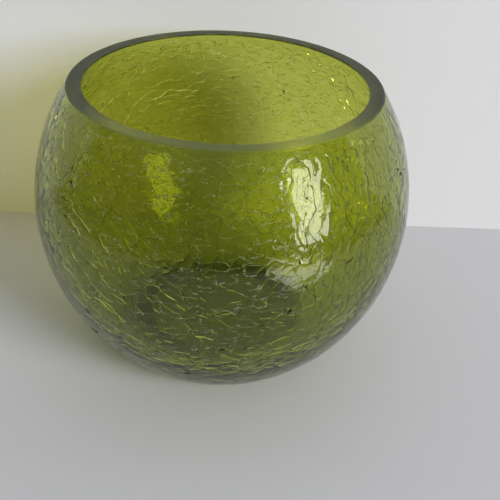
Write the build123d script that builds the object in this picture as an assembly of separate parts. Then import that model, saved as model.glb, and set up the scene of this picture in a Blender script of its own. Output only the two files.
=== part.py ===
from build123d import *
import math
import os

# Round crackle-glass bowl, blown as one piece of glass. The body is nearly a ball. It is cut off
# level at the mouth and ground flat, and its base is pushed up a little, so that it stands on a
# ring. The wall swells towards the heel, where the glass gathers before it sets.
# Millimetres. +Z is up, and the origin is the centre of the ring it stands on.

# Outside form
body_diameter = 120.0      # at the widest section, the waist
waist_height = 54.0        # from the table up to the waist
shoulder_height = 39.0     # from the waist up to the ground rim
mouth_diameter = 95.0      # outer edge of the rim
foot_diameter = 65.0       # where the wall would meet the table, before the heel is rounded
heel_radius = 5.0          # rounding between the wall and the standing ring

# Ground rim
rim_width = 4.6            # flat land, measured across
rim_arris = 0.35           # small bevel that takes the sharpness off both rim edges

# Glass thickness
waist_wall = 3.9           # at the widest section
base_thickness = 5.5       # at the middle of the base
floor_diameter = 62.0      # where the inner wall would meet the floor, before it is rounded
floor_radius = 18.0        # rounding between the inner wall and the floor

# Base
foot_ring_width = 7.0      # flat ring that touches the table, measured before the heel is rounded
push_up = 1.6              # height of the base's hollow at its middle
floor_crown = 1.2          # height of the floor's dome above its edge

# Radii and levels that follow from the sizes
body_r = body_diameter / 2
mouth_r = mouth_diameter / 2
foot_r = foot_diameter / 2
hollow_r = foot_r - foot_ring_width
bore_r = body_r - waist_wall
rim_inner_r = mouth_r - rim_width
floor_r = floor_diameter / 2
rim_z = waist_height + shoulder_height
floor_mid_z = push_up + base_thickness
floor_edge_z = floor_mid_z - floor_crown

# The turned surfaces are handed on as splines of this degree, to within this distance
spline_degree = 8
spline_fit = 0.0001


def sharp_section():
    """Section of the glass on one side of the axis, in the XZ plane, with all its corners sharp."""
    with BuildSketch(Plane.XZ) as section:
        with BuildLine():
            # underside of the base and the ring it stands on
            TangentArc((0, push_up), (hollow_r, 0), tangent=(1, 0))
            Line((hollow_r, 0), (foot_r, 0))
            # outside of the body, one sweep from the foot over the waist to the rim
            ThreePointArc((foot_r, 0), (body_r, waist_height), (mouth_r, rim_z))
            # ground rim
            Line((mouth_r, rim_z), (rim_inner_r, rim_z))
            # inside of the body, one sweep from the rim over the waist to the floor
            ThreePointArc((rim_inner_r, rim_z), (bore_r, waist_height), (floor_r, floor_edge_z))
            # domed floor, and the glass on the axis
            TangentArc((0, floor_mid_z), (floor_r, floor_edge_z), tangent=(1, 0))
            Line((0, floor_mid_z), (0, push_up))
        make_face()
    return section.sketch


def corner(section, r, z):
    """The section's corner nearest to the point r out and z up."""
    return min(section.vertices(), key=lambda v: math.hypot(v.X - r, v.Z - z))


def glass_bowl():
    section = sharp_section()
    section = fillet(corner(section, foot_r, 0), heel_radius)
    section = fillet(corner(section, floor_r, floor_edge_z), floor_radius)
    section = chamfer(corner(section, mouth_r, rim_z), rim_arris)
    section = chamfer(corner(section, rim_inner_r, rim_z), rim_arris)
    return revolve(section, Axis.Z).to_splines(degree=spline_degree, tolerance=spline_fit)


os.makedirs("parts", exist_ok=True)
export_step(glass_bowl(), "parts/glass_bowl.step")
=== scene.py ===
import math
import random

import bpy
import numpy as np
from mathutils import Matrix, Vector, noise
from mathutils.geometry import delaunay_2d_cdt
from mathutils.kdtree import KDTree


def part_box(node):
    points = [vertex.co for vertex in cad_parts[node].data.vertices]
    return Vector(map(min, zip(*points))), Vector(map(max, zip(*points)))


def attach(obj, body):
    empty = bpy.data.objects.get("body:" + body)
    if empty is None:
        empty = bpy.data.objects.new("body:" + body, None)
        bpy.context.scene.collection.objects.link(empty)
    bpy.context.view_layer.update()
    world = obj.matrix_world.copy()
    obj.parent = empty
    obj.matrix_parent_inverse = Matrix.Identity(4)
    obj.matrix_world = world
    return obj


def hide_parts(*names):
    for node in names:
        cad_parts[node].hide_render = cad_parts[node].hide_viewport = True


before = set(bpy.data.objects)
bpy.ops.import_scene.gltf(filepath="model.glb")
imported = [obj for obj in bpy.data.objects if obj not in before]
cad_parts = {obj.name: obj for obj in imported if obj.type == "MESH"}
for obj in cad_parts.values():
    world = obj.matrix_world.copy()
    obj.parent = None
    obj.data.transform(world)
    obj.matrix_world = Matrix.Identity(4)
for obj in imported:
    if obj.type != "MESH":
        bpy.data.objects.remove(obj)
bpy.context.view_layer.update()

bowlLow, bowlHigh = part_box("glass_bowl")
print("frame loaded, glass is", round((bowlHigh[2] - bowlLow[2]) * 1000, 1), "mm high")


# camera

cameraSetup = {
    "place": (0.0, -0.22986, 0.18346),
    "aim": (0.01188, 0.04892, 0.0),     # the point on the table that it looks at
    "roll": 3.06,                       # degrees, clockwise as seen from behind it
    "lens": 57.65,
}


def makeCamera(setup):
    data = bpy.data.cameras.new("viewCamera")
    data.lens = setup["lens"]
    data.sensor_width = 36.0
    data.clip_start = 0.01
    camera = bpy.data.objects.new("viewCamera", data)
    bpy.context.scene.collection.objects.link(camera)
    forward = (Vector(setup["aim"]) - Vector(setup["place"])).normalized()
    level = forward.cross(Vector((0, 0, 1))).normalized()
    right = Matrix.Rotation(-math.radians(setup["roll"]), 3, forward) @ level
    up = right.cross(forward)
    pose = Matrix((right, up, -forward)).transposed().to_4x4()
    pose.translation = Vector(setup["place"])
    camera.matrix_world = pose
    bpy.context.scene.camera = camera


makeCamera(cameraSetup)
print("camera placed")


# form of the glass, as a section: sizes in mm, heights above the table

bowlForm = {
    "footRadius": 32.5,       # where the wall would meet the table
    "waistHeight": 54.0,
    "rimOuter": 47.5,
    "rimWidth": 4.6,
    "rimArris": 0.35,
    "heelRound": 5.0,
    "hollowRadius": 25.5,     # inner edge of the standing ring
    "pushUp": 1.6,
    "waistWall": 3.9,
    "floorRadius": 31.0,      # where the inner wall would meet the floor
    "floorMiddle": 7.1,
    "floorEdge": 5.9,
    "floorRound": 18.0,
}
waistRadius = round((bowlHigh[0] - bowlLow[0]) * 500, 1)
rimHeight = round(bowlHigh[2] * 1000, 1)


def circleThrough(a, b, c):
    (ax, ay), (bx, by), (cx, cy) = a, b, c
    d = 2 * (ax * (by - cy) + bx * (cy - ay) + cx * (ay - by))
    aa, bb, cc = ax * ax + ay * ay, bx * bx + by * by, cx * cx + cy * cy
    x = (aa * (by - cy) + bb * (cy - ay) + cc * (ay - by)) / d
    y = (aa * (cx - bx) + bb * (ax - cx) + cc * (bx - ax)) / d
    return x, y, math.hypot(ax - x, ay - y)


def arcPoints(x, y, radius, start, end, count):
    # points along an arc, angles in radians from the outward direction
    turn = np.linspace(start, end, count)
    return np.column_stack((x + radius * np.cos(turn), y + radius * np.sin(turn)))


def outerSection(form):
    # from the middle of the base out over the standing ring, up the wall to the rim
    waist = (waistRadius, form["waistHeight"])
    rim = (form["rimOuter"], rimHeight)
    x, y, radius = circleThrough((form["footRadius"], 0.0), waist, rim)
    hollow = form["hollowRadius"]
    cap = (hollow ** 2 + form["pushUp"] ** 2) / (2 * form["pushUp"])
    heel = form["heelRound"]
    heelX = x + math.sqrt((radius - heel) ** 2 - (y - heel) ** 2)
    heelTurn = math.atan2(heel - y, heelX - x)
    arris = form["rimArris"]
    rimTurn = math.atan2(rimHeight - y, form["rimOuter"] - x) - arris / radius
    edge = math.asin(hollow / cap)
    parts = [
        arcPoints(0.0, form["pushUp"] - cap, cap, math.pi / 2 - 0.0005, math.pi / 2 - edge, 40),
        np.column_stack((np.linspace(hollow, heelX, 12), np.zeros(12))),
        arcPoints(heelX, heel, heel, -math.pi / 2, heelTurn, 30),
        arcPoints(x, y, radius, heelTurn, rimTurn, 420),
    ]
    return np.concatenate([parts[0]] + [p[1:] for p in parts[1:]])


def innerSection(form):
    # from the outer arris over the ground rim, down the inner wall and across the floor
    inner = form["rimOuter"] - form["rimWidth"]
    arris = form["rimArris"]
    waist = (waistRadius - form["waistWall"], form["waistHeight"])
    floorEdge = (form["floorRadius"], form["floorEdge"])
    x, y, radius = circleThrough((inner, rimHeight), waist, floorEdge)
    rise = form["floorMiddle"] - form["floorEdge"]
    dome = (form["floorRadius"] ** 2 + rise ** 2) / (2 * rise)
    domeY = form["floorMiddle"] - dome
    fillet = form["floorRound"]
    # centre of the rounding: a fillet radius inside the wall arc and above the dome
    near, far = radius - fillet, dome + fillet
    dx, dy = x, y - domeY
    gap = math.hypot(dx, dy)
    along = (far ** 2 - near ** 2 + gap ** 2) / (2 * gap)
    across = math.sqrt(far ** 2 - along ** 2)
    filletX = along * dx / gap + across * dy / gap
    filletY = domeY + along * dy / gap - across * dx / gap
    wallTurn = math.atan2(filletY - y, filletX - x)
    floorTurn = math.atan2(domeY - filletY, -filletX)
    rimTurn = math.atan2(rimHeight - y, inner - x) - arris / radius
    floorReach = math.atan2(filletX, filletY - domeY)
    land = np.linspace(form["rimOuter"] - arris, inner + arris, 6)
    return [
        np.column_stack((land, np.full(6, rimHeight))),
        arcPoints(x, y, radius, rimTurn, wallTurn, 40),
        arcPoints(filletX, filletY, fillet, wallTurn, floorTurn, 14)[1:],
        arcPoints(0.0, domeY, dome, math.pi / 2 - floorReach, math.pi / 2, 8)[1:],
    ]


outer = outerSection(bowlForm)
steps = np.hypot(*np.diff(outer, axis=0).T)
outerRun = np.concatenate(([0.0], np.cumsum(steps)))
slope = np.gradient(outer, outerRun, axis=0)
slope /= np.hypot(slope[:, 0], slope[:, 1])[:, None]
outerNormal = np.column_stack((slope[:, 1], -slope[:, 0]))
# flat chart of the outside that keeps angles: log of the chart radius grows by run / radius
middle = 0.5 * (outer[1:, 0] + outer[:-1, 0])
chartLog = np.concatenate(([0.0], np.cumsum(steps / middle))) + math.log(max(outer[0, 0], 0.01))
rimChart = math.exp(chartLog[-1])


def onChart(run, turn):
    radius = np.exp(np.interp(run, outerRun, chartLog))
    return np.column_stack((radius * np.cos(turn), radius * np.sin(turn)))


def chartRun(spot):
    # distance along the section, from chart places
    radius = np.maximum(np.hypot(spot[..., 0], spot[..., 1]), math.exp(chartLog[0]))
    return np.interp(np.log(radius), chartLog, outerRun)


def chartScale(spot):
    # mm on the glass for one unit on the chart
    radius = np.maximum(np.hypot(spot[..., 0], spot[..., 1]), math.exp(chartLog[0]))
    return np.interp(chartRun(spot), outerRun, outer[:, 0]) / radius


def onGlass(spot):
    # place and outward normal of chart places on the smooth outside
    spot = np.atleast_2d(spot)
    run = chartRun(spot)
    radius = np.maximum(np.hypot(spot[:, 0], spot[:, 1]), 1e-9)
    cosine, sine = spot[:, 0] / radius, spot[:, 1] / radius
    r, z = np.interp(run, outerRun, outer[:, 0]), np.interp(run, outerRun, outer[:, 1])
    nr, nz = np.interp(run, outerRun, outerNormal[:, 0]), np.interp(run, outerRun, outerNormal[:, 1])
    length = np.hypot(nr, nz)
    place = np.column_stack((r * cosine, r * sine, z))
    normal = np.column_stack((nr / length * cosine, nr / length * sine, nz / length))
    return place, normal


# crackle: cracks grown one after another until no patch between them is wider than wanted

crackle = {
    "seed": 41,
    "step": 1.1,              # mm between the corners of a crack
    "meet": 0.82,             # how near a crack comes before it runs into another
    "meetingCorner": 0.22,    # where the corners beside a meeting lie, as a share of a step
    "rimMargin": 0.9,         # cracks stop this far below the ground rim
    "heelMargin": 4.0,        # and this far above the table
    "fullDepthHeight": 10.0,  # over this height they grow to their full depth
    # widest patch left, tries, crack width and depth, longest crack, all in mm
    "rounds": [
        (10.0, 900, 0.09, 0.75, 18.0),
        (6.0, 1500, 0.08, 0.65, 12.0),
        (3.4, 4500, 0.07, 0.55, 8.0),
        (2.1, 9000, 0.06, 0.42, 5.0),
    ],
    "variation": (0.7, 1.25),          # of width and depth from crack to crack
    "lengthVariation": (0.6, 1.3),
    "stepVariation": (0.75, 1.2),
    "wander": 0.15,           # how much the heading drifts at each corner, radians
    "drift": 0.05,            # how much the course does that the heading keeps turning back to
    "steadiness": 0.22,
    "kinks": 0.42,            # share of corners with a sharp turn
    "kinkTurn": (0.35, 0.95),
    "deadEnds": 0.3,          # share of cracks that stop before they meet another
    "deadEndLength": (0.1, 0.3),       # as shares of the longest
    "uprightSide": -40.0,     # degrees, where the cracks run mostly up and down
    "uprightFrom": 20.0,      # mm above the table, where that begins
    "uprightOver": 30.0,      # and the height over which it grows
    "leanSpread": 0.45,       # radians
    "spurs": {"count": 800, "turn": (0.5, 1.3), "length": (1.5, 5.0), "width": (0.06, 0.1),
              "depth": (0.3, 0.5)},
    "companions": {"count": 1150, "offset": (1.0, 1.7), "length": (2.5, 8.0), "width": (0.07, 0.11),
                   "depth": (0.3, 0.6)},
    "companionRoom": 0.85,    # mm that a companion keeps from older cracks where it starts
    "leastDepth": 0.03,       # mm, shallower corners count as smooth skin
    "shoulderSink": 0.023,    # how far the glass rounds down at a crack's edges, mm
    "shoulderReach": 0.35,    # how far from the crack this rounding starts, mm
    "widestBeside": 0.35,     # a crack closes where the mesh beside it is wider than this, mm
    "waviness": 0.16,         # unevenness of the blown wall, mm
    "wavinessSize": 24.0,     # mm
    "calmEdge": 3.0,          # mm below the rim and above the table with less of it
    "patchSpacing": 2.8,      # mm between mesh corners on the smooth patches
    "patchClear": 0.62,       # mm that these keep from the cracks
    "columns": 240,           # round the rim and the inside
}


class CrackNet:
    def __init__(self, settings, dice):
        self.settings = settings
        self.dice = dice
        self.spots = np.zeros((60000, 2))
        self.places = np.zeros((60000, 3))
        self.count = 0
        self.cracks = []
        self.topRun = outerRun[-1] - settings["rimMargin"]

    def add(self, spot, place):
        self.spots[self.count] = spot
        self.places[self.count] = place
        self.count += 1

    def nearest(self, place, skip):
        # nearest crack corner, leaving out the numbers in skip
        if self.count == 0:
            return 1e9, -1
        away = self.places[:self.count] - place
        reach = np.einsum("ij,ij->i", away, away)
        if skip:
            reach[skip] = 1e9
        index = int(np.argmin(reach))
        return math.sqrt(reach[index]), index

    def grow(self, spot, heading, longest, skip, own, kinked=1.0):
        # one arm of a crack from a spot; gives its corners and whether it met another crack
        settings, dice = self.settings, self.dice
        arm, steady = [], heading
        travelled = 0.0
        while travelled < longest:
            steady += dice.gauss(0, settings["drift"])
            heading += dice.gauss(0, settings["wander"]) + settings["steadiness"] * (steady - heading)
            if dice.random() < settings["kinks"] * kinked:
                heading += dice.choice((-1, 1)) * dice.uniform(*settings["kinkTurn"])
            length = settings["step"] * dice.uniform(*settings["stepVariation"])
            scale = float(chartScale(np.array(spot)))
            spot = (spot[0] + math.cos(heading) * length / scale,
                    spot[1] + math.sin(heading) * length / scale)
            travelled += length
            run = float(chartRun(np.array(spot)))
            place, _ = onGlass(np.array(spot))
            if run > self.topRun:
                return arm, False
            reach, index = self.nearest(place[0], skip + own[-4:])
            if reach < settings["meet"]:
                arm.append(tuple(self.spots[index]))
                return arm, True
            arm.append(spot)
            own.append(self.count)
            self.add(spot, place[0])
        return arm, False

    def heading(self, index):
        # direction along the crack at one of its corners
        other = index + 1 if index + 1 < self.count else index - 1
        dx, dy = self.spots[other] - self.spots[index]
        return math.atan2(dy, dx)

    def crack(self, spot, heading, width, depth, longest):
        place, _ = onGlass(np.array(spot))
        start = self.count
        self.add(spot, place[0])
        dice = self.dice
        early = [1.0, 1.0]
        if dice.random() < self.settings["deadEnds"]:
            early[dice.randrange(2)] = dice.uniform(*self.settings["deadEndLength"])
        own = [start]
        ahead, metAhead = self.grow(spot, heading, longest * early[0], [], own)
        firstOwn = own[:5]
        own = [start]
        back, metBack = self.grow(spot, heading + math.pi, longest * early[1], firstOwn, own)
        line = back[::-1] + [spot] + ahead
        if len(line) > 2:
            self.cracks.append((line, metBack, metAhead, width, depth))

    def branch(self, index, turn, length, width, depth):
        spot = tuple(self.spots[index])
        side = self.heading(index) + turn
        skip = list(range(max(0, index - 3), min(self.count, index + 4)))
        arm, met = self.grow(spot, side, length, skip, [], kinked=0.6)
        if len(arm) > 1:
            self.cracks.append(([spot] + arm, True, met, width, depth))

    def companion(self, index, offset, length, width, depth):
        heading = self.heading(index)
        spot = self.spots[index]
        scale = float(chartScale(spot))
        start = (spot[0] - math.sin(heading) * offset / scale,
                 spot[1] + math.cos(heading) * offset / scale)
        place, _ = onGlass(np.array(start))
        tooHigh = chartRun(np.array(start)) > self.topRun
        if tooHigh or self.nearest(place[0], [])[0] < self.settings["companionRoom"]:
            return
        first = self.count
        self.add(start, place[0])
        arm, met = self.grow(start, heading, length, [], [first], kinked=0.3)
        if len(arm) > 1:
            self.cracks.append(([start] + arm, False, met, width, depth))


def randomSpot(dice, top):
    # a chart place, even over the area of the glass
    while True:
        run = dice.uniform(0.0, top)
        radius = float(np.interp(run, outerRun, outer[:, 0]))
        if dice.random() < radius / waistRadius:
            return tuple(onChart(run, dice.uniform(0, 2 * math.pi))[0])


def lean(dice, spot, place, settings):
    # heading of a new crack: mostly up and down on one side and high up, mostly round elsewhere
    outward = math.atan2(spot[1], spot[0])
    facing = 0.5 + 0.5 * math.cos(outward - math.radians(settings["uprightSide"]))
    height = max(0.0, min(1.0, (place[2] - settings["uprightFrom"]) / settings["uprightOver"]))
    across = 0.0 if dice.random() < facing ** 2 * height else math.pi / 2
    return outward + across + dice.gauss(0, settings["leanSpread"])


def growCrackle(settings):
    dice = random.Random(settings["seed"])
    net = CrackNet(settings, dice)
    varied = settings["variation"]
    for widest, tries, width, depth, longest in settings["rounds"]:
        for _ in range(tries):
            spot = randomSpot(dice, net.topRun)
            place, _ = onGlass(np.array(spot))
            if net.nearest(place[0], [])[0] < widest * dice.uniform(0.85, 1.1):
                continue
            net.crack(spot, lean(dice, spot, place[0], settings), width * dice.uniform(*varied),
                      depth * dice.uniform(*varied), longest * dice.uniform(*settings["lengthVariation"]))
    grown = net.count
    spurs, companions = settings["spurs"], settings["companions"]
    for _ in range(spurs["count"]):
        turn = dice.choice((-1, 1)) * dice.uniform(*spurs["turn"])
        net.branch(dice.randrange(grown), turn, dice.uniform(*spurs["length"]),
                   dice.uniform(*spurs["width"]), dice.uniform(*spurs["depth"]))
    for _ in range(companions["count"]):
        offset = dice.choice((-1, 1)) * dice.uniform(*companions["offset"])
        net.companion(dice.randrange(grown), offset, dice.uniform(*companions["length"]),
                      dice.uniform(*companions["width"]), dice.uniform(*companions["depth"]))
    return net.cracks


def crackLines(cracks, settings, dice):
    # corners, half widths and depths along each crack; its dead ends taper to nothing, and where
    # cracks meet there are corners close by on each, so that no patch is pulled into the crack
    meetings = set()
    for line, metStart, metEnd, _, _ in cracks:
        if metStart:
            meetings.add(tuple(line[0]))
        if metEnd:
            meetings.add(tuple(line[-1]))
    lines = []
    close = settings["meetingCorner"]
    for line, metStart, metEnd, width, depth in cracks:
        raw = np.array(line)
        spots = []
        for k, spot in enumerate(raw):
            met = tuple(spot) in meetings
            if met and k > 0:
                spots.append(spot + close * (raw[k - 1] - spot))
            spots.append(spot)
            if met and k < len(raw) - 1:
                spots.append(spot + close * (raw[k + 1] - spot))
        spots = np.array(spots)
        count = len(spots)
        fade = np.ones(count)
        reach = min(3, count // 2)
        for k in range(reach):
            if not metStart:
                fade[k] = min(fade[k], k / reach)
            if not metEnd:
                fade[-1 - k] = min(fade[-1 - k], k / reach)
        rough = np.array([dice.uniform(0.6, 1.3) for _ in range(count)])
        lines.append((spots, 0.5 * width * rough * fade, depth * (0.4 + 0.6 * rough) * fade))
    return lines


def crackSides(spots, half):
    # corners to the left and right of a crack, at its half width
    ahead = np.diff(spots, axis=0)
    ahead /= np.maximum(np.hypot(ahead[:, 0], ahead[:, 1]), 1e-9)[:, None]
    bend = ahead[1:] + ahead[:-1]
    bend /= np.maximum(np.hypot(bend[:, 0], bend[:, 1]), 1e-9)[:, None]
    shift = (half[1:-1] / chartScale(spots[1:-1]))[:, None]
    side = np.column_stack((-bend[:, 1], bend[:, 0]))
    return spots[1:-1] + side * shift, spots[1:-1] - side * shift


def unevenness(place, settings):
    # how far the blown surface lies below the true form, never above it
    size = settings["wavinessSize"]
    spot = Vector(place) / size
    value = noise.noise(spot) + 0.45 * noise.noise(spot * 2.7 + Vector((9.1, 3.3, 5.7)))
    return settings["waviness"] * (0.5 + 0.5 * max(-1.0, min(1.0, value)))


def wavyNormals(places, normals, settings):
    # the true normals, turned by the slope of the unevenness
    result = np.zeros_like(normals)
    reach = 0.8
    for i in range(len(places)):
        normal = Vector(normals[i])
        sideA = normal.orthogonal().normalized()
        sideB = normal.cross(sideA)
        here = Vector(places[i])
        base = unevenness(here, settings)
        slopeA = (unevenness(here + sideA * reach, settings) - base) / reach
        slopeB = (unevenness(here + sideB * reach, settings) - base) / reach
        result[i] = (normal + sideA * slopeA + sideB * slopeB).normalized()
    return result


def treeOf(places):
    tree = KDTree(len(places))
    for i, place in enumerate(places):
        tree.insert(place, i)
    tree.balance()
    return tree


def ringEdges(row):
    return [(row[k], row[(k + 1) % len(row)]) for k in range(len(row))]


def crackDepths(places, lines):
    # depth of the crack at each corner of the mesh, how near the nearest one is, and which way
    starts, ends, halfs, depths = [], [], [], []
    for spots, half, depth in lines:
        points, _ = onGlass(spots)
        starts.append(points[:-1])
        ends.append(points[1:])
        halfs.append(np.column_stack((half[:-1], half[1:])))
        depths.append(np.column_stack((depth[:-1], depth[1:])))
    starts, ends = np.concatenate(starts), np.concatenate(ends)
    halfs, depths = np.concatenate(halfs), np.concatenate(depths)
    tree = treeOf((starts + ends) / 2)
    seekReach = 2.4
    deep = np.zeros(len(places))
    near = np.full(len(places), 9.0)
    toward = np.zeros((len(places), 3))
    along = ends - starts
    square = np.maximum(np.einsum("ij,ij->i", along, along), 1e-12)
    for i, place in enumerate(places):
        found = [f[1] for f in tree.find_range(place, seekReach)]
        if not found:
            continue
        part = np.clip(np.einsum("ij,ij->i", place - starts[found], along[found]) / square[found], 0, 1)
        foot = starts[found] + along[found] * part[:, None]
        away = foot - place
        reach = np.sqrt(np.einsum("ij,ij->i", away, away))
        half = halfs[found, 0] * (1 - part) + halfs[found, 1] * part
        depth = depths[found, 0] * (1 - part) + depths[found, 1] * part
        value = depth * np.clip(1 - reach / np.maximum(half, 1e-4), 0, 1)
        deep[i] = value.max()
        edge = reach - half
        closest = int(np.argmin(edge))
        near[i] = max(0.0, edge[closest])
        if reach[closest] > 1e-6:
            toward[i] = away[closest] / reach[closest]
    return deep, near, toward


def outerSkin(settings):
    # the cracked outside: chart corners, the crack lines kept as mesh edges, and the triangles
    cracks = growCrackle(settings)
    lines = crackLines(cracks, settings, random.Random(settings["seed"] + 1))
    print("cracks grown:", len(lines))
    spots, edges = [], []

    def addLine(points):
        first = len(spots)
        spots.extend(map(tuple, points))
        edges.extend((first + k, first + k + 1) for k in range(len(points) - 1))

    for corners, half, _ in lines:
        addLine(corners)
        if len(corners) > 2:
            left, right = crackSides(corners, half)
            addLine(left)
            addLine(right)
    tree = treeOf(onGlass(np.array(spots))[0])
    dice = random.Random(settings["seed"] + 2)
    # smooth patches get corners in rows, a little out of line
    spacing, loose = settings["patchSpacing"], 0.2
    for run in np.arange(0.6, outerRun[-1] - 0.7, spacing * 0.866):
        radius = float(np.interp(run, outerRun, outer[:, 0]))
        count = max(3, round(2 * math.pi * radius / spacing))
        phase = dice.uniform(0, 2 * math.pi)
        for k in range(count):
            turn = phase + 2 * math.pi * (k + dice.uniform(-loose, loose)) / count
            place = run + dice.uniform(-loose, loose) * spacing
            if not 0.2 < place < outerRun[-1] - 0.6:
                continue
            spot = onChart(place, turn)[0]
            if tree.find(onGlass(spot)[0][0])[2] > settings["patchClear"]:
                spots.append(tuple(spot))
    firstRim = len(spots)
    columns = settings["columns"]
    for k in range(columns):
        turn = 2 * math.pi * k / columns
        spots.append((rimChart * math.cos(turn), rimChart * math.sin(turn)))
    edges.extend(ringEdges(range(firstRim, firstRim + columns)))
    result = delaunay_2d_cdt([Vector(p) for p in spots], edges, [], 0, 1e-5)
    chart = np.array([tuple(v) for v in result[0]])
    triangles = np.array(result[2])
    came = {source: k for k, sources in enumerate(result[3]) for source in sources}
    rimRow = [came[firstRim + k] for k in range(columns)]
    places, normals = onGlass(chart)
    deep, near, toward = crackDepths(places, lines)
    wide = near[triangles].max(axis=1) > settings["widestBeside"]
    pulled = np.unique(triangles[wide])
    least = settings["leastDepth"]
    print("closed corners:", int((deep[pulled] > least).sum()), "of", int((deep > least).sum()))
    deep[pulled] = 0.0
    print("outside skin:", len(places), "corners,", len(triangles), "triangles")
    return chart, triangles, rimRow, places, normals, deep, near, toward


def addInside(vertices, faces, rimRow, settings):
    # the ground rim and the smooth inside, turned round the axis; gives the edges to keep sharp
    columns = settings["columns"]
    turns = 2 * np.pi * np.arange(columns) / columns
    sharp, row = ringEdges(rimRow), rimRow
    for number, group in enumerate(innerSection(bowlForm)):
        for k, (r, z) in enumerate(group):
            first = len(vertices)
            if r < 0.05:
                vertices.append((0.0, 0.0, z))
                faces.extend((a, b, first) for a, b in ringEdges(row))
                continue
            for turn in turns:
                x, y = r * math.cos(turn), r * math.sin(turn)
                lift = 0.0
                if number:
                    # unlike the outside's, and gone at the rim
                    lift = unevenness((x + 40.0, y - 25.0, z), settings) * min(1.0, (rimHeight - z) / 6)
                vertices.append((x * (1 - lift / r), y * (1 - lift / r), z))
            new = range(first, first + columns)
            faces.extend((a, b, d, c) for (a, b), (c, d) in zip(ringEdges(row), ringEdges(new)))
            if (number == 0 and k in (0, len(group) - 1)) or (number == 1 and k == 0):
                sharp.extend(ringEdges(new))
            row = new
    return sharp


def makeBowl(settings):
    chart, triangles, rimRow, places, normals, deep, near, toward = outerSkin(settings)
    run = chartRun(chart)
    # nothing is uneven at the rim's own edge, and the standing ring stays on the table
    calm = np.clip((outerRun[-1] - run) / settings["calmEdge"], 0, 1)
    ring = np.clip(places[:, 2] / settings["calmEdge"], 0, 1)
    shallow = np.clip((places[:, 2] - settings["heelMargin"]) / settings["fullDepthHeight"], 0, 1)
    wave = np.array([unevenness(p, settings) for p in places]) * calm * ring
    sink = settings["shoulderSink"] * np.exp(-near / settings["shoulderReach"]) * calm * shallow
    cut = deep * calm * shallow
    corners = places - normals * (wave + sink + cut)[:, None]
    tilt = sink / settings["shoulderReach"]
    patch = wavyNormals(places, normals, settings)
    toward -= patch * np.einsum("ij,ij->i", toward, patch)[:, None]
    patch = patch + toward * tilt[:, None]
    patch /= np.linalg.norm(patch, axis=1)[:, None]

    # triangles face outward
    a, b, c = corners[triangles[:, 0]], corners[triangles[:, 1]], corners[triangles[:, 2]]
    facing = np.cross(b - a, c - a)
    backward = np.einsum("ij,ij->i", facing, normals[triangles[:, 0]]) < 0
    triangles[backward] = triangles[backward][:, ::-1]
    facing[backward] *= -1
    facing /= np.maximum(np.linalg.norm(facing, axis=1), 1e-12)[:, None]

    vertices = list(corners)
    faces = [tuple(int(i) for i in t) for t in triangles]
    sharp = addInside(vertices, faces, rimRow, settings)

    mesh = bpy.data.meshes.new("crackleBowl")
    mesh.from_pydata([tuple(float(q) * 0.001 for q in v) for v in vertices], [], faces)
    mesh.polygons.foreach_set("use_smooth", [True] * len(mesh.polygons))
    wanted = {tuple(sorted(e)) for e in sharp}
    for edge in mesh.edges:
        if tuple(sorted(edge.vertices)) in wanted:
            edge.use_edge_sharp = True

    # smooth patches take the glass's own normals, and the faces inside a crack stay flat
    inCrack = cut[triangles].max(axis=1) > settings["leastDepth"]
    loopNormals = np.zeros((len(mesh.loops), 3))
    loopNormals[:len(triangles) * 3] = np.where(
        np.repeat(inCrack, 3)[:, None], np.repeat(facing, 3, axis=0), patch[triangles.ravel()])
    mesh.normals_split_custom_set([tuple(n) for n in loopNormals])
    broken = mesh.attributes.new("brokenGlass", "FLOAT", "FACE")
    broken.data.foreach_set("value", np.concatenate((inCrack, np.zeros(len(faces) - len(triangles)))))
    # where the hairlines lie: millimetres round the waist, and millimetres up the outside
    across = np.zeros((len(mesh.loops), 2))
    turn = np.arctan2(chart[:, 1], chart[:, 0])[triangles]
    turn[(turn.max(axis=1) - turn.min(axis=1) > math.pi)[:, None] & (turn < 0)] += 2 * math.pi
    across[:len(triangles) * 3, 0] = turn.ravel() * waistRadius
    across[:len(triangles) * 3, 1] = run[triangles].ravel()
    mesh.uv_layers.new(name="skinMap").data.foreach_set("uv", across.ravel())
    strength = np.zeros(len(vertices))
    strength[:len(corners)] = calm * np.clip(shallow * 2, 0, 1)
    mesh.attributes.new("hairlines", "FLOAT", "POINT").data.foreach_set("value", strength)
    mesh.update()
    bowl = bpy.data.objects.new("crackle_bowl", mesh)
    bpy.context.scene.collection.objects.link(bowl)
    return bowl


# materials

glassFinish = {
    "tint": (0.85, 0.88, 0.36, 1.0),
    "deepTint": (0.77, 0.81, 0.29, 1.0),
    "brokenTint": (1.0, 1.0, 0.9, 1.0),
    "refraction": 1.5,
    "mirror": (1.0, 1.0, 0.94, 1.0),   # colour of what the skin mirrors
    "smooth": 0.015,          # roughness of the clean skin
    "smudge": 0.05,           # of the fingermarks
    "ground": 0.48,           # of the rim
    "broken": 0.08,           # of the torn faces inside the cracks
    "shadowTint": (0.85, 0.80, 0.63, 1.0),
    "bodyColour": (0.715, 0.76, 0.0, 1.0),
    "bodyDensity": 255.0,
    # scale and detail of the noise
    "swirl": (38.0, 2.0),
    "fingermarks": (90.0, 4.0),
    "fingermarkReach": (0.45, 0.75),
    "firePolish": (150.0, 3.0),
    "grinding": (2600.0, 2.0),
    "bumpStrength": 0.25,
    "bumpHeight": 0.0002,     # metres
    "rimFade": (0.00045, 0.00015),     # metres below the rim's top, where it turns matt
}

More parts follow.
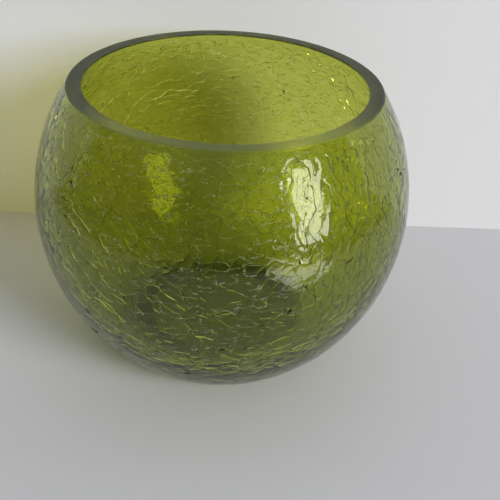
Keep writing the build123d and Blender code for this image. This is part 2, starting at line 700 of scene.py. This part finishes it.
# the finest cracks, as lines in the skin: sizes in mm
hairlines = {
    # seed, heading in degrees, spacing, half width and the share that shows: pale ones mostly run round
    # the bowl, and dark ones, whose near-black is painted shade of cracks that block the light, mostly up
    # and down on the side toward the lamps
    "pale": [(1.0, 6.0, 2.2, 0.115, 0.48), (2.0, -26.0, 3.2, 0.115, 0.47), (3.0, 74.0, 6.0, 0.1, 0.43)],
    "dark": [(4.0, 82.0, 2.6, 0.16, 0.53), (5.0, -60.0, 4.2, 0.15, 0.5)],
    # painted shade: the side toward the lamps where the dark hairlines lie, and the cosines from it where
    # they begin and are whole
    "paintedShadeSide": -28.0,        # degrees
    "paintedShadeReach": (0.62, 0.88),         # cosines from paintedShadeSide, where dark lines begin and are all
    "paleLoss": 0.85,         # share of the pale lines that these take over
    # painted shade: the near-black that the dark hairlines take
    "paintedShadeTint": (0.05, 0.05, 0.01, 1.0),
    "underTint": (1.0, 0.97, 0.82, 1.0),
    "roughness": 0.3,
    "refraction": 2.6,
    "depth": 0.0001,          # metres
    "stretch": (0.16, 0.3, 0.0),       # of the noise along and across the lines
    "wander": 5.0,
    "pieces": 1.35,           # how short the pieces are
    "edgeOn": (0.85, 0.5),    # lost beyond the first angle, whole within the second
}


def newMaterial(name):
    material = bpy.data.materials.new(name)
    material.use_nodes = True
    tree = material.node_tree
    tree.nodes.clear()
    return material, tree


def addNode(tree, kind, **values):
    node = tree.nodes.new(kind)
    for key, value in values.items():
        setattr(node, key, value)
    return node


def feed(tree, entry, value):
    # another node's output is linked in, and anything else is set
    if isinstance(value, bpy.types.NodeSocket):
        tree.links.new(value, entry)
    else:
        entry.default_value = value


def reckon(tree, operation, *values):
    node = addNode(tree, "ShaderNodeMath", operation=operation)
    for entry, value in zip(node.inputs, values):
        feed(tree, entry, value)
    return node.outputs["Value"]


def vector(tree, operation, first, second=None):
    node = addNode(tree, "ShaderNodeVectorMath", operation=operation)
    feed(tree, node.inputs[0], first)
    if second is not None:
        feed(tree, node.inputs[1], second)
    return node.outputs["Value" if operation in ("DOT_PRODUCT", "LENGTH") else "Vector"]


def spanned(tree, value, reach, smooth=True, onto=(0.0, 1.0)):
    # value taken from one span to another
    node = addNode(tree, "ShaderNodeMapRange", interpolation_type="SMOOTHSTEP" if smooth else "LINEAR")
    feed(tree, node.inputs["Value"], value)
    node.inputs["From Min"].default_value, node.inputs["From Max"].default_value = reach
    node.inputs["To Min"].default_value, node.inputs["To Max"].default_value = onto
    return node.outputs["Result"]


def mixed(tree, kind, factor, first, second):
    node = addNode(tree, "ShaderNodeMix", data_type=kind)
    feed(tree, node.inputs["Factor"], factor)
    feed(tree, node.inputs["A"], first)
    feed(tree, node.inputs["B"], second)
    return node.outputs["Result"]


def mixedShader(tree, factor, first, second):
    node = addNode(tree, "ShaderNodeMixShader")
    for entry, value in zip(node.inputs, (factor, first, second)):
        tree.links.new(value, entry)
    return node.outputs["Shader"]


def clouds(tree, place, scale, detail, **values):
    # soft noise between 0 and 1
    node = addNode(tree, "ShaderNodeTexNoise", **values)
    tree.links.new(place, node.inputs["Vector"])
    feed(tree, node.inputs["Scale"], scale)
    node.inputs["Detail"].default_value = detail
    return node


def hairlineLayer(tree, place, settings, seed, heading, spacing, width, kept):
    # lines side by side in one heading, wandering and broken into short pieces: 1 on a line
    turned = addNode(tree, "ShaderNodeMapping", vector_type="TEXTURE")
    turned.inputs["Location"].default_value = (7.3 * seed, 3.1 * seed, 0.0)
    turned.inputs["Rotation"].default_value = (0.0, 0.0, math.radians(heading))
    tree.links.new(place, turned.inputs["Vector"])
    stretched = vector(tree, "MULTIPLY", turned.outputs["Vector"], settings["stretch"])
    wander = clouds(tree, stretched, 1.0, 3.0, noise_dimensions="2D")
    wander.inputs["Roughness"].default_value = 0.62
    split = addNode(tree, "ShaderNodeSeparateXYZ")
    tree.links.new(turned.outputs["Vector"], split.inputs["Vector"])
    shifted = reckon(tree, "MULTIPLY_ADD", wander.outputs["Fac"], settings["wander"], split.outputs["Y"])
    part = reckon(tree, "FRACT", reckon(tree, "DIVIDE", shifted, spacing))
    away = reckon(tree, "ABSOLUTE", reckon(tree, "SUBTRACT", part, 0.5))
    line = spanned(tree, away, (width / spacing, width / spacing * 0.3))
    pieces = clouds(tree, stretched, settings["pieces"], 1.0, noise_dimensions="2D")
    shown = spanned(tree, pieces.outputs["Fac"], (1 - kept, 1.04 - kept), False)
    return reckon(tree, "MULTIPLY", line, shown)


def hairlineMasks(tree, place, settings):
    # where the pale and the dark hairlines are; the dark ones carry painted shade on the side toward the
    # lamps
    skinMap = addNode(tree, "ShaderNodeUVMap", uv_map="skinMap")
    level = vector(tree, "MULTIPLY", place, (1.0, 1.0, 0.0))
    # painted shade: dark lines only on the side toward the lamps
    side = math.radians(settings["paintedShadeSide"])
    turned = vector(tree, "DOT_PRODUCT", vector(tree, "NORMALIZE", level),
                    (math.cos(side), math.sin(side), 0.0))
    paintedShadeShare = spanned(tree, turned, settings["paintedShadeReach"])
    paleShare = reckon(tree, "MULTIPLY_ADD", paintedShadeShare, -settings["paleLoss"], 1.0)
    # only on the outside, and lost in the glass where it is seen edge on
    onSkin = addNode(tree, "ShaderNodeAttribute", attribute_name="hairlines")
    edgeOn = addNode(tree, "ShaderNodeLayerWeight")
    faceOn = spanned(tree, edgeOn.outputs["Facing"], settings["edgeOn"])
    seen = reckon(tree, "MULTIPLY", onSkin.outputs["Fac"], faceOn)
    masks = []
    for layers, share in ((settings["pale"], paleShare), (settings["dark"], paintedShadeShare)):
        union = hairlineLayer(tree, skinMap.outputs["UV"], settings, *layers[0])
        for layer in layers[1:]:
            lines = hairlineLayer(tree, skinMap.outputs["UV"], settings, *layer)
            union = reckon(tree, "MAXIMUM", union, lines)
        masks.append(reckon(tree, "MULTIPLY", reckon(tree, "MULTIPLY", union, share), seen))
    return masks


def glassMaterial(finish, settings):
    material, tree = newMaterial("oliveCrackleGlass")
    link = tree.links.new
    output = addNode(tree, "ShaderNodeOutputMaterial")
    shader = addNode(tree, "ShaderNodeBsdfPrincipled")
    shader.inputs["IOR"].default_value = finish["refraction"]
    shader.inputs["Transmission Weight"].default_value = 1.0
    shader.inputs["Metallic"].default_value = 0.0
    shader.inputs["Specular Tint"].default_value = finish["mirror"]
    place = addNode(tree, "ShaderNodeTexCoord").outputs["Object"]
    broken = addNode(tree, "ShaderNodeAttribute", attribute_name="brokenGlass").outputs["Fac"]
    paleLine, paintedShadeLine = hairlineMasks(tree, place, settings)
    hairline = reckon(tree, "MAXIMUM", paleLine, paintedShadeLine)
    # colour runs a little stronger and weaker in the gather
    swirl = clouds(tree, place, *finish["swirl"])
    tint = mixed(tree, "RGBA", swirl.outputs["Fac"], finish["tint"], finish["deepTint"])
    torn = mixed(tree, "RGBA", broken, tint, finish["brokenTint"])
    # painted shade: the dark hairlines turn the colour near black
    link(mixed(tree, "RGBA", paintedShadeLine, torn, settings["paintedShadeTint"]), shader.inputs["Base Color"])
    # pale hairlines mirror the room
    link(paleLine, shader.inputs["Coat Weight"])
    shader.inputs["Coat Roughness"].default_value = settings["roughness"]
    shader.inputs["Coat IOR"].default_value = settings["refraction"]
    shader.inputs["Coat Tint"].default_value = settings["underTint"]
    # the ground rim is matt: everything above its arris
    split = addNode(tree, "ShaderNodeSeparateXYZ")
    link(place, split.inputs["Vector"])
    fade = [rimHeight * 0.001 - below for below in finish["rimFade"]]
    rimMask = spanned(tree, split.outputs["Z"], fade)
    smudges = clouds(tree, place, *finish["fingermarks"])
    rough = spanned(tree, smudges.outputs["Fac"], finish["fingermarkReach"], False,
                    (finish["smooth"], finish["smudge"]))
    rough = mixed(tree, "FLOAT", rimMask, rough, finish["ground"])
    rough = mixed(tree, "FLOAT", broken, rough, finish["broken"])
    link(mixed(tree, "FLOAT", hairline, rough, settings["roughness"]), shader.inputs["Roughness"])
    # fine unevenness of the fire-polished skin, and the grinding marks on the rim
    skin = clouds(tree, place, *finish["firePolish"])
    grind = clouds(tree, place, *finish["grinding"])
    bump = addNode(tree, "ShaderNodeBump")
    bump.inputs["Strength"].default_value = finish["bumpStrength"]
    bump.inputs["Distance"].default_value = finish["bumpHeight"]
    link(mixed(tree, "FLOAT", rimMask, skin.outputs["Fac"], grind.outputs["Fac"]), bump.inputs["Height"])
    groove = addNode(tree, "ShaderNodeBump", invert=True)
    groove.inputs["Strength"].default_value = 1.0
    groove.inputs["Distance"].default_value = settings["depth"]
    link(hairline, groove.inputs["Height"])
    link(bump.outputs["Normal"], groove.inputs["Normal"])
    link(groove.outputs["Normal"], shader.inputs["Normal"])
    # the green of the glass itself
    body = addNode(tree, "ShaderNodeVolumeAbsorption")
    body.inputs["Color"].default_value = finish["bodyColour"]
    body.inputs["Density"].default_value = finish["bodyDensity"]
    link(body.outputs["Volume"], output.inputs["Volume"])
    # lamps shine through, so the bowl's shadow is light and green
    path = addNode(tree, "ShaderNodeLightPath")
    clear = addNode(tree, "ShaderNodeBsdfTransparent")
    clear.inputs["Color"].default_value = finish["shadowTint"]
    link(mixedShader(tree, path.outputs["Is Shadow Ray"], shader.outputs["BSDF"], clear.outputs["BSDF"]),
         output.inputs["Surface"])
    return material


def mottleGroup():
    # soft mottling and fine grain that both painted surfaces share
    group = bpy.data.node_groups.new("softMottle", "ShaderNodeTree")
    sockets = group.interface
    sockets.new_socket("Tone", in_out="INPUT", socket_type="NodeSocketColor")
    sockets.new_socket("Spread", in_out="INPUT", socket_type="NodeSocketFloat")
    sockets.new_socket("Size", in_out="INPUT", socket_type="NodeSocketFloat")
    sockets.new_socket("Colour", in_out="OUTPUT", socket_type="NodeSocketColor")
    sockets.new_socket("Grain", in_out="OUTPUT", socket_type="NodeSocketFloat")
    entry = group.nodes.new("NodeGroupInput")
    leave = group.nodes.new("NodeGroupOutput")
    place = group.nodes.new("ShaderNodeTexCoord").outputs["Object"]
    cloud = clouds(group, place, entry.outputs["Size"], 5.0)
    grain = clouds(group, place, 900.0, 3.0)
    centred = reckon(group, "SUBTRACT", cloud.outputs["Fac"], 0.5)
    spread = reckon(group, "MULTIPLY_ADD", centred, entry.outputs["Spread"], 1.0)
    tone = addNode(group, "ShaderNodeVectorMath", operation="SCALE")
    group.links.new(entry.outputs["Tone"], tone.inputs[0])
    group.links.new(spread, tone.inputs["Scale"])
    group.links.new(tone.outputs["Vector"], leave.inputs["Colour"])
    group.links.new(grain.outputs["Fac"], leave.inputs["Grain"])
    return group


stageLook = {
    "table": (0.575, 0.575, 0.595, 1.0),
    "wall": (0.66, 0.66, 0.675, 1.0),
    "roughness": 0.6,
    "mirror": 0.25,
    "spread": 0.06,            # of the mottling
    "tableMottle": 6.0,        # its scale
    "wallMottle": 4.0,
    "bumpStrength": 0.08,
    "bumpHeight": 0.0003,      # metres
    "wallPlane": 0.0728,       # how far the wall stands behind the bowl's axis, metres
    "wallTurn": 0.4,           # degrees
    "reach": 2.4,              # metres each way
    "tableEdge": 0.26,         # mirrored rays pass the table beyond this distance
    "wallHeight": 1.3,
}


def stageMaterial(name, look, tone, group, size, oneSided):
    material, tree = newMaterial(name)
    link = tree.links.new
    output = addNode(tree, "ShaderNodeOutputMaterial")
    shader = addNode(tree, "ShaderNodeBsdfPrincipled")
    shader.inputs["Roughness"].default_value = look["roughness"]
    shader.inputs["Specular IOR Level"].default_value = look["mirror"]
    mottle = addNode(tree, "ShaderNodeGroup", node_tree=group)
    mottle.inputs["Tone"].default_value = tone
    mottle.inputs["Spread"].default_value = look["spread"]
    mottle.inputs["Size"].default_value = size
    bump = addNode(tree, "ShaderNodeBump")
    bump.inputs["Strength"].default_value = look["bumpStrength"]
    bump.inputs["Distance"].default_value = look["bumpHeight"]
    link(mottle.outputs["Colour"], shader.inputs["Base Color"])
    link(mottle.outputs["Grain"], bump.inputs["Height"])
    link(bump.outputs["Normal"], shader.inputs["Normal"])
    clear = addNode(tree, "ShaderNodeBsdfTransparent")
    if oneSided:
        # seen from behind, the wall isn't there
        gone = addNode(tree, "ShaderNodeNewGeometry").outputs["Backfacing"]
    else:
        # the window reaches below the table's level, and the bowl mirrors it past the table's edge
        place = addNode(tree, "ShaderNodeTexCoord").outputs["Object"]
        beyond = reckon(tree, "GREATER_THAN", vector(tree, "LENGTH", place), look["tableEdge"])
        path = addNode(tree, "ShaderNodeLightPath")
        gone = reckon(tree, "MULTIPLY", beyond, path.outputs["Is Glossy Ray"])
    link(mixedShader(tree, gone, shader.outputs["BSDF"], clear.outputs["BSDF"]), output.inputs["Surface"])
    return material


def makePlane(name, corners, material):
    mesh = bpy.data.meshes.new(name)
    mesh.from_pydata(corners, [], [(0, 1, 2, 3)])
    mesh.materials.append(material)
    plane = bpy.data.objects.new(name, mesh)
    bpy.context.scene.collection.objects.link(plane)


def makeStage(look):
    group = mottleGroup()
    reach, back = look["reach"], look["wallPlane"]
    table = stageMaterial("paleTable", look, look["table"], group, look["tableMottle"], False)
    wall = stageMaterial("paleWall", look, look["wall"], group, look["wallMottle"], True)
    makePlane("tableTop", [(-reach, -reach, 0), (reach, -reach, 0), (reach, reach, 0), (-reach, reach, 0)],
              table)
    slant = math.tan(math.radians(look["wallTurn"])) * reach
    top = look["wallHeight"]
    makePlane("backWall", [(-reach, back + slant, 0), (reach, back - slant, 0),
                           (reach, back - slant, top), (-reach, back + slant, top)], wall)


lightSetup = {
    # the daylight falls on matt surfaces; what the glass mirrors and bends is set by itself
    "lights": {
        "daylight": {"place": (2.67, -2.58, 1.55), "aim": (0, 0, 0.054), "size": (1.6, 1.5),
                     "power": 178.0, "lights": True, "mirrored": False},
        "windowMirrored": {"place": (0.915, -0.741, 0.283), "aim": (0, 0, 0.054),
                           "size": (0.40, 0.80), "power": 8.2, "lights": False, "mirrored": True},
        "sillMirrored": {"place": (0.13, -0.17, 0.002), "aim": (0.13, -0.17, 1),
                         "size": (0.09, 0.11), "power": 0.1, "lights": False, "mirrored": True},
    },
    "lightColour": (1.0, 0.995, 0.98),
    "roomLow": (0.10, 0.10, 0.105, 1.0),   # the dim room, up to the first height
    "roomHigh": (0.37, 0.38, 0.41, 1.0),   # the pale ceiling, above the second
    "roomHeights": (0.25, 0.85),           # as sines
    "backdrop": (0.66, 0.66, 0.67, 1.0),
    "backdropSide": (0.2, 0.6),            # Y of the directions between which it comes in
}


def makeLights(setup):
    world = bpy.data.worlds.new("room")
    world.use_nodes = True
    tree = world.node_tree
    link = tree.links.new
    background = tree.nodes["Background"]
    split = addNode(tree, "ShaderNodeSeparateXYZ")
    link(addNode(tree, "ShaderNodeTexCoord").outputs["Generated"], split.inputs["Vector"])
    height = spanned(tree, split.outputs["Z"], setup["roomHeights"])
    room = mixed(tree, "RGBA", height, setup["roomLow"], setup["roomHigh"])
    # the camera meets a plain pale backdrop, and glass shows it too: through it, and mirrored in
    # it on the side where the backdrop stands
    path = addNode(tree, "ShaderNodeLightPath")
    behind = spanned(tree, split.outputs["Y"], setup["backdropSide"])
    mirrored = reckon(tree, "MULTIPLY", path.outputs["Is Glossy Ray"], behind)
    through = reckon(tree, "MAXIMUM", path.outputs["Is Camera Ray"], path.outputs["Is Transmission Ray"])
    seen = reckon(tree, "MAXIMUM", through, mirrored)
    link(mixed(tree, "RGBA", seen, room, setup["backdrop"]), background.inputs["Color"])
    bpy.context.scene.world = world
    for name, lamp in setup["lights"].items():
        data = bpy.data.lights.new(name, "AREA")
        data.shape = "RECTANGLE"
        data.size, data.size_y = lamp["size"]
        data.energy = lamp["power"]
        data.color = setup["lightColour"]
        thing = bpy.data.objects.new(name, data)
        bpy.context.scene.collection.objects.link(thing)
        thing.location = lamp["place"]
        away = Vector(lamp["place"]) - Vector(lamp["aim"])
        thing.rotation_euler = away.to_track_quat("Z", "Y").to_euler()
        thing.visible_camera = False
        thing.visible_diffuse = lamp["lights"]
        thing.visible_glossy = lamp["mirrored"]
        thing.visible_transmission = lamp["mirrored"]


makeStage(stageLook)
makeLights(lightSetup)
print("table, wall and light made")

bowl = makeBowl(crackle)
bowl.data.materials.append(glassMaterial(glassFinish, hairlines))
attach(bowl, "root")
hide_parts("glass_bowl")
print("bowl made:", len(bowl.data.polygons), "faces")

bpy.context.scene.view_settings.view_transform = "Standard"
